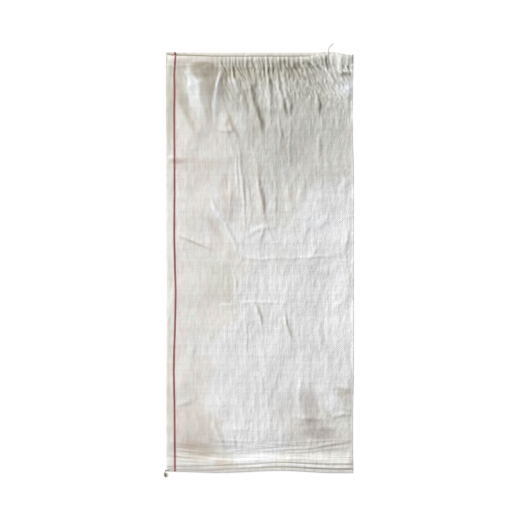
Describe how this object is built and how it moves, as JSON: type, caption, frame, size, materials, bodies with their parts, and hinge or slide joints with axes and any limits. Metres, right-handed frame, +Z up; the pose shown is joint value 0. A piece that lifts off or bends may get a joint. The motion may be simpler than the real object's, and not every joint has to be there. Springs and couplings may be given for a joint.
{
  "type": "woven polypropylene sack",
  "caption": "Empty flat woven plastic sack with a hemmed, gathered open mouth and a folded, sewn bottom; lies flat and takes bulk goods through its mouth.",
  "frame": {"origin": "on the floor, under the middle of the flat sack; the free thread ends are left out of that measure", "axes": "+X across the width, +Y along the length towards the open mouth, +Z up from the floor, out of the front panel"},
  "size_m": [0.4078, 0.9275, 0.0134],
  "materials": {
    "woven_cloth": "plain weave of flat slit polypropylene tapes, whitish and slightly translucent, soft gloss",
    "white_thread": "matte twisted sewing thread",
    "grey_thread": "matte twisted sewing thread, greyed",
    "brown_thread": "matte, soiled, fuzzy sewing thread"
  },
  "bodies": {
    "root": {"woven_tube": "woven_cloth", "mouth_hem_stitching": "white_thread", "bottom_stitching_lower": "white_thread", "bottom_stitching_upper": "white_thread", "mouth_thread_tail": "grey_thread", "mouth_tail_knot": "grey_thread", "bottom_thread_tail": "brown_thread", "bottom_tail_knot": "brown_thread"}
  },
  "joints": []
}
